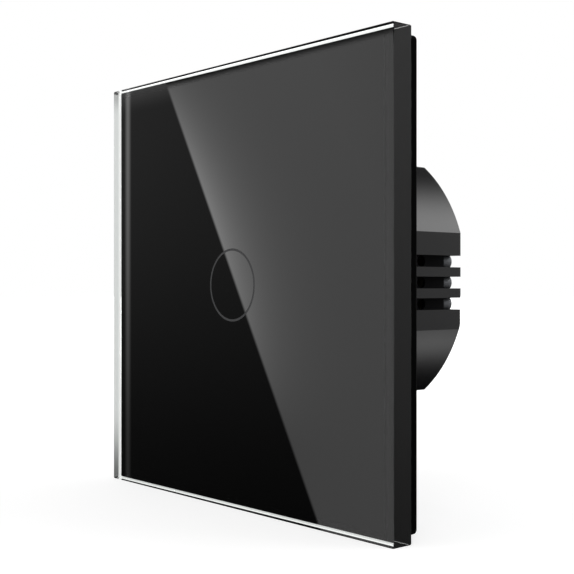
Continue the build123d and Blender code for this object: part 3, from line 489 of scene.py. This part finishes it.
# Front of the glass: clear to look into along its edges, and black further in, where nothing but the
# print can show through it. The gloss is the same all over.
front_glass, tree, place = blank_finish("polished front over black print")
from_centre = add_node(tree, "ShaderNodeVectorMath", {"operation": "SUBTRACT", 1: panel_middle}, place)
offset = add_node(tree, "ShaderNodeSeparateXYZ", {}, from_centre).outputs
to_left = add_node(tree, "ShaderNodeMath", {"operation": "SUBTRACT"}, see_in_left - see_in_elsewhere,
                   offset["X"])
to_side = add_node(tree, "ShaderNodeMath", {"operation": "MAXIMUM"}, to_left, offset["X"])
off_level = add_node(tree, "ShaderNodeMath", {"operation": "ABSOLUTE"}, offset["Z"])
outermost = add_node(tree, "ShaderNodeMath", {"operation": "MAXIMUM"}, to_side, off_level)
see_in_start = glass_reach - see_in_elsewhere
see_in = add_node(tree, "ShaderNodeMapRange", smooth, outermost, see_in_start, see_in_start + see_in_fade,
                  0.0, 1.0)
over_print = add_node(tree, "ShaderNodeBsdfPrincipled",
                      {"Base Color": linear("#010101"), "IOR": 1.5, "Roughness": 0.004})
clear = add_node(tree, "ShaderNodeBsdfPrincipled", clear_glass)
both = add_node(tree, "ShaderNodeMixShader", {}, see_in, over_print, clear)
add_node(tree, "ShaderNodeOutputMaterial", {"Surface": both})

# Each face gets its finish by its direction and place. The rear arrises are as matt as the left side.
square_on = 0.99
arris_lean = 0.5
glass_finishes = (polished_glass, ground_glass, fired_ink, margin_glass, etched_ring, front_glass)
glass.data.materials.clear()
for finish in glass_finishes:
    glass.data.materials.append(finish)
for polygon in glass.data.polygons:
    normal = polygon.normal
    corners = [glass.data.vertices[corner].co - panel_middle for corner in polygon.vertices]
    furthest = max(max(abs(corner.x), abs(corner.z)) for corner in corners)
    if normal.x < -square_on or arris_lean < normal.y < square_on:
        finish = ground_glass
    elif normal.y > square_on:
        finish = fired_ink if furthest < glass_reach - print_margin + place_slack else margin_glass
    elif furthest < 2 * ring_outer and polygon.center.y > panel_low.y + ring_etch / 4:
        finish = etched_ring
    elif normal.y < -square_on:
        finish = front_glass
    else:
        finish = polished_glass
    polygon.material_index = glass_finishes.index(finish)
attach(glass, "front_panel")
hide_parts("glass_panel")


# Print and ring window on the back of the glass: one coat of black ink, and translucent grey ink in
# the ring that it leaves open. Both are as thin as a coat of paint.
def coat(name, dark, light, patch_in_mm, roughness, specular=0.5, see_through=0.0):
    """Ink, lacquer or moulded colour: two close tones in soft patches under an even gloss."""
    material, tree, place = blank_finish(name)
    patches = add_node(tree, "ShaderNodeTexNoise",
                       {"Vector": place, "Scale": per(patch_in_mm), "Detail": 5.0})
    tone = add_node(tree, "ShaderNodeMix", {"data_type": "RGBA", 6: linear(dark), 7: linear(light)}, patches)
    drift = 0.15 * roughness
    rough = add_node(tree, "ShaderNodeMapRange", {"To Min": roughness - drift, "To Max": roughness + drift},
                     patches)
    relief = add_node(tree, "ShaderNodeBump", {"Strength": 0.15, "Distance": skin_depth, "Height": patches})
    shader = add_node(tree, "ShaderNodeBsdfPrincipled", {
        "Base Color": tone.outputs[2], "Roughness": rough, "Normal": relief, "Specular IOR Level": specular,
        "Transmission Weight": see_through})
    add_node(tree, "ShaderNodeOutputMaterial", {"Surface": shader})
    return material


def dress(finish, *names):
    """Gives CAD nodes their finish."""
    for name in names:
        nodes[name].material_slots[0].material = finish


dress(fired_ink, "black_print")
# Grey ink: a soft even grey. The real ink lets the lamps' light through; here it is drawn opaque.
dress(coat("grey window ink", "#4a4a4b", "#565657", patch_in_mm=0.3, roughness=0.5), "ring_window")


# Tape: a band of thin black acrylic foam, sticky on both sides and die-cut to a square frame. It is
# pressed between the printed glass and the panel frame, and shows as a dull black line.
dress(coat("black acrylic foam tape", "#0a0a0a", "#161616", patch_in_mm=0.15, roughness=0.9, specular=0.2),
      "panel_tape")


# Panel frame: a shallow black ABS tray behind the glass, injection-moulded in one piece with its skirt
# and its four hooks, which snap through the mounting plate.
def shaded(code, factor):
    """The colour made lighter or darker by a factor."""
    return tuple(factor * share for share in linear(code)[:3]) + (1.0,)


def moulded(name, code, roughness, texture_in_mm, texture_depth, specular=0.5):
    """Thermoplastic: one colour through and through, under the texture that its tool left, and gloss
    that drifts a little along the flow of the plastic."""
    material, tree, place = blank_finish(name)
    texture = add_node(tree, "ShaderNodeTexNoise",
                       {"Vector": place, "Scale": per(texture_in_mm), "Detail": 2.0})
    flow = add_node(tree, "ShaderNodeTexNoise", {"Vector": place, "Scale": per(12), "Detail": 1.0})
    drift = 0.12 * roughness
    rough = add_node(tree, "ShaderNodeMapRange", {"To Min": roughness - drift, "To Max": roughness + drift},
                     flow)
    lighter = shaded(code, 1.5)
    tone = add_node(tree, "ShaderNodeMix", {"data_type": "RGBA", 6: linear(code), 7: lighter}, texture)
    relief = add_node(tree, "ShaderNodeBump",
                      {"Strength": texture_depth, "Distance": 2 * skin_depth, "Height": texture})
    shader = add_node(tree, "ShaderNodeBsdfPrincipled", {
        "Base Color": tone.outputs[2], "Roughness": rough, "Normal": relief, "Specular IOR Level": specular})
    add_node(tree, "ShaderNodeOutputMaterial", {"Surface": shader})
    return material


# A deeply eroded tool: the texture swallows nearly all gloss. Its colour is darker than black ABS is,
# painted shade, so that the skirt is a black shadow line.
dress(moulded("deep matt black ABS", "#020202", roughness=0.55, texture_in_mm=0.22, texture_depth=0.4,
              specular=0.01), "panel_frame")


# Rear housing and front cover: two polycarbonate mouldings that close on the plate, held together by
# four screws. The housing holds the boards and the terminals, and fits the wall box.

# A polished and lightly blasted tool: satin black that mirrors the studio in soft broad bands.
dress(moulded("satin black polycarbonate", "#0b0b0c", roughness=0.24, texture_in_mm=0.5, texture_depth=0.06),
      "rear_housing")
# An eroded tool: even matt black with a dull sheen.
dress(moulded("matt black polycarbonate", "#0d0d0e", roughness=0.42, texture_in_mm=0.25, texture_depth=0.25),
      "front_cover")


# Terminal block, plug, relay and chips: small mouldings round metal parts, soldered to the boards.
# Each is plain dull plastic as it comes from the tool.

# Glass-filled polyamide: its fibres roughen the skin, which stays nearly without gloss. Its colour is
# darker than the plastic, painted shade, so that the shaded slots and the holes in them read as one dark.
dress(moulded("black polyamide", "#040405", roughness=0.6, texture_in_mm=0.3, texture_depth=0.2,
              specular=0.05), "terminal_block")
# Heat-proof polyester: black, half matt.
dress(moulded("black header plastic", "#0c0c0d", roughness=0.5, texture_in_mm=0.3, texture_depth=0.2),
      "header_carrier", "header_socket")
# The same, dyed dark grey.
dress(moulded("dark grey relay base", "#2a2a2c", roughness=0.45, texture_in_mm=0.3, texture_depth=0.2),
      "relay_base", "relay_bobbin")
# Dark blue polyester from a smoother tool: a soft sheen on a plain box.
dress(moulded("dark blue relay case", "#10182c", roughness=0.3, texture_in_mm=0.4, texture_depth=0.1),
      "relay_cover")
# Epoxy with mineral powder, transfer-moulded: grainy and dull.
dress(moulded("black epoxy package", "#121213", roughness=0.55, texture_in_mm=0.12, texture_depth=0.4),
      "touch_chip", "transistor", "rectifier")


# Mounting plate: sheet steel, hot-dip galvanised before it was stamped. The zinc froze in flat
# crystals, each with its own lean, which flash light and dark, and the rollers drew fine scratches
# along X.
zinc, tree, place = blank_finish("galvanised steel sheet")
crystals = add_node(tree, "ShaderNodeTexVoronoi", {"Vector": place, "Scale": per(3.5), "Randomness": 1.0})
lean = add_node(tree, "ShaderNodeSeparateColor", {"Color": crystals.outputs["Color"]}).outputs
zinc_tone = add_node(tree, "ShaderNodeMix", {"data_type": "RGBA", 6: linear("#a9acae"), 7: linear("#c3c6c9")},
                     lean["Red"])
zinc_rough = add_node(tree, "ShaderNodeMapRange", {"To Min": 0.28, "To Max": 0.46}, lean["Green"])
rolled = add_node(tree, "ShaderNodeMapping", {"Vector": place, "Scale": (0.05, 1, 1)})
scratches = add_node(tree, "ShaderNodeTexNoise", {"Vector": rolled, "Scale": per(0.2), "Detail": 3.0})
zinc_relief = add_node(tree, "ShaderNodeBump",
                       {"Strength": 0.12, "Distance": skin_depth, "Height": scratches})
shader = add_node(tree, "ShaderNodeBsdfPrincipled", {
    "Base Color": zinc_tone.outputs[2], "Metallic": 1.0, "Roughness": zinc_rough, "Normal": zinc_relief})
add_node(tree, "ShaderNodeOutputMaterial", {"Surface": shader})
dress(zinc, "mounting_plate")


# Screws and clamps: the four pan-head screws that close the housing, and for each pole a clamp screw
# that turns in place and lifts its cage. All are cold-formed or stamped steel, plated in a barrel.
def plated(name, code, roughness, grain_in_mm, stretch=1.0):
    """Bright metal with a fine grain; a stretch over 1 draws the grain out along X."""
    material, tree, place = blank_finish(name)
    drawn = add_node(tree, "ShaderNodeMapping", {"Vector": place, "Scale": (1 / stretch, 1, 1)})
    grain = add_node(tree, "ShaderNodeTexNoise", {"Vector": drawn, "Scale": per(grain_in_mm), "Detail": 4.0})
    drift = 0.25 * roughness
    rough = add_node(tree, "ShaderNodeMapRange", {"To Min": roughness - drift, "To Max": roughness + drift},
                     grain)
    duller = shaded(code, 0.82)
    tone = add_node(tree, "ShaderNodeMix", {"data_type": "RGBA", 6: duller, 7: linear(code)}, grain)
    relief = add_node(tree, "ShaderNodeBump", {"Strength": 0.12, "Distance": skin_depth, "Height": grain})
    shader = add_node(tree, "ShaderNodeBsdfPrincipled", {
        "Base Color": tone.outputs[2], "Metallic": 1.0, "Roughness": rough, "Normal": relief})
    add_node(tree, "ShaderNodeOutputMaterial", {"Surface": shader})
    return material


# Bright zinc: cool and shiny.
dress(plated("bright zinc-plated steel", "#c9cbcf", roughness=0.26, grain_in_mm=0.3), "housing_screws")
# Dull dark grey, darker than the bright zinc, so the screws stay quiet in the black slots.
dress(plated("dark zinc-plated screw", "#747679", roughness=0.6, grain_in_mm=0.3),
      "terminal_screw_1", "terminal_screw_2", "terminal_screw_3")
# Nickel: warm and shiny.
dress(plated("nickel-plated steel", "#c6c1b6", roughness=0.22, grain_in_mm=0.3),
      "terminal_cage_1", "terminal_cage_2", "terminal_cage_3")


# Contacts, leads, springs and magnet iron: rolled strip and drawn wire, stamped or bent, and mostly
# plated. They are soldered or riveted in place.

# Tin over brass: soft warm silver with rolling lines.
dress(plated("tin-plated brass strip", "#cdc6b4", roughness=0.3, grain_in_mm=0.2, stretch=6),
      "terminal_contacts", "relay_fixed_contact")
# Tin over copper: pale silver.
dress(plated("tinned copper lead", "#d2d2ce", roughness=0.25, grain_in_mm=0.2),
      "lead_wires", "touch_chip_leads", "relay_pins")
# Nickel on drawn wire: the brightest of them.
dress(plated("nickel-plated spring wire", "#cfcdc8", roughness=0.18, grain_in_mm=0.2), "touch_spring")
# A breath of gold: clear yellow shine.
dress(plated("gold-flashed pin", "#d9b25c", roughness=0.22, grain_in_mm=0.2), "header_pins")
# Thin nickel on soft iron: grey, with the marks of the rolled strip.
dress(plated("soft iron, nickel-flashed", "#9b9893", roughness=0.34, grain_in_mm=0.25, stretch=4),
      "relay_core", "relay_yoke", "relay_armature")
# Bare bronze: brown-red with rolling lines.
dress(plated("phosphor bronze leaf", "#c08a58", roughness=0.3, grain_in_mm=0.15, stretch=5), "relay_leaf")


# Touch board and power board: glass-fibre laminate under green solder mask, glossy over its relief.
# The copper areas show lighter through the mask, parted by thin dark gaps. The threads of the woven
# glass show as faint stripes, drawn a little wider apart than they are.
def bands(width_in_mm):
    """Scale of a wave pattern with bands this far apart. It runs 20 radians for each unit of scale."""
    return per(width_in_mm) * 2 * math.pi / 20


copper_thickness = 0.035 * mm
gap_start = 0.06
gap_end = 0.10
weave_in_mm = 0.9425
weave_share = 0.08
board, tree, place = blank_finish("green solder-masked laminate")
own_area, next_area = (
    add_node(tree, "ShaderNodeTexVoronoi", {"feature": rank, "distance": "CHEBYCHEV", "Vector": place,
                                            "Scale": per(4.0), "Randomness": 0.7}).outputs["Distance"]
    for rank in ("F1", "F2"))
in_area = add_node(tree, "ShaderNodeMath", {"operation": "SUBTRACT"}, next_area, own_area)
copper = add_node(tree, "ShaderNodeMapRange", {}, in_area, gap_start, gap_end)
weave = add_node(tree, "ShaderNodeTexWave",
                 {"bands_direction": "X", "Vector": place, "Scale": bands(weave_in_mm)})
mask_tone = add_node(tree, "ShaderNodeMix", {"data_type": "RGBA", 6: linear("#0b3119"), 7: linear("#17552e")},
                     copper)
woven_tone = add_node(tree, "ShaderNodeMix", {
    "data_type": "RGBA", "blend_type": "OVERLAY", 6: mask_tone.outputs[2], 7: weave.outputs["Color"]},
    weave_share)
mask_relief = add_node(tree, "ShaderNodeBump",
                       {"Strength": 0.4, "Distance": copper_thickness, "Height": copper})
shader = add_node(tree, "ShaderNodeBsdfPrincipled", {
    "Base Color": woven_tone.outputs[2], "Roughness": 0.28, "Normal": mask_relief})
add_node(tree, "ShaderNodeOutputMaterial", {"Surface": shader})
dress(board, "touch_board", "power_board")


# Light guide and lamps behind the ring: a moulded tube of milky polycarbonate that carries the light
# to the ring window, and two lamps with white bodies, soldered to the touch board.

# Milky plastic: soft, half clear and bright at its rim.
dress(coat("milky polycarbonate", "#dfe3e2", "#eef0ef", patch_in_mm=4, roughness=0.25, see_through=0.35),
      "light_guide")
# Filled white plastic, a little yellowed by its phosphor.
dress(coat("white lamp body", "#e6e2cf", "#f1efe4", patch_in_mm=0.6, roughness=0.35), "indicator_leds")


# Small components, soldered to the two boards: moulded, dipped or lacquered cases in the colours that
# their makers give them.

# Fired ceramic: matt brown.
dress(coat("brown chip ceramic", "#6b5238", "#8a6d4c", patch_in_mm=0.3, roughness=0.4), "small_parts")
# Moulded box, filled with resin: shiny mustard yellow.
dress(coat("yellow capacitor box", "#b98d14", "#d1a322", patch_in_mm=5, roughness=0.3), "film_capacitor")
# Shrunk sleeve: tight, shiny and nearly black.
dress(coat("dark capacitor sleeve", "#14162a", "#1c1f38", patch_in_mm=2, roughness=0.28),
      "electrolytic_capacitor")
# Dipped epoxy: wet-looking blue.
dress(coat("blue dipped epoxy", "#143a7c", "#1d4c98", patch_in_mm=1.5, roughness=0.2), "varistor")
# Moulded case: dull dark brown.
dress(coat("brown fuse case", "#3a1f12", "#4c2a19", patch_in_mm=2, roughness=0.35), "fuse")
# Lacquer: soft beige with a dull sheen.
dress(coat("beige resistor lacquer", "#b09363", "#c4a878", patch_in_mm=1, roughness=0.45), "resistors")
# Pressed and sintered powder: dark grey and rough.
dress(coat("sintered ferrite", "#242428", "#36363b", patch_in_mm=0.4, roughness=0.6), "choke_core")


# Windings: enamelled copper wire laid side by side, drawn as bands of copper colour with painted shade
# between the turns. The real wire is about 0.3 mm thick, too fine to show, and its bands are drawn 2.2 mm
# apart.
def wound(name, code, band_in_mm, direction):
    """Wire round a coil: shiny metal under clear enamel, with painted shade between the turns."""
    material, tree, place = blank_finish(name)
    turns = add_node(tree, "ShaderNodeTexWave", {"bands_direction": direction, "wave_profile": "SIN",
                                                 "Vector": place, "Scale": bands(band_in_mm)}).outputs["Fac"]
    # Painted shade: the copper colour darkened between the turns.
    painted_turn_shade = shaded(code, 0.35)
    tone = add_node(tree, "ShaderNodeMix", {"data_type": "RGBA", 6: painted_turn_shade, 7: linear(code)}, turns)
    relief = add_node(tree, "ShaderNodeBump", {"Strength": 0.8, "Distance": 5 * skin_depth, "Height": turns})
    shader = add_node(tree, "ShaderNodeBsdfPrincipled", {
        "Base Color": tone.outputs[2], "Metallic": 0.8, "Roughness": 0.3, "Coat Weight": 0.5,
        "Normal": relief})
    add_node(tree, "ShaderNodeOutputMaterial", {"Surface": shader})
    return material


dress(wound("enamelled copper on the relay", "#b4622c", band_in_mm=2.199, direction="X"), "relay_winding")
dress(wound("enamelled copper on the choke", "#a65626", band_in_mm=2.199, direction="Y"), "choke_winding")
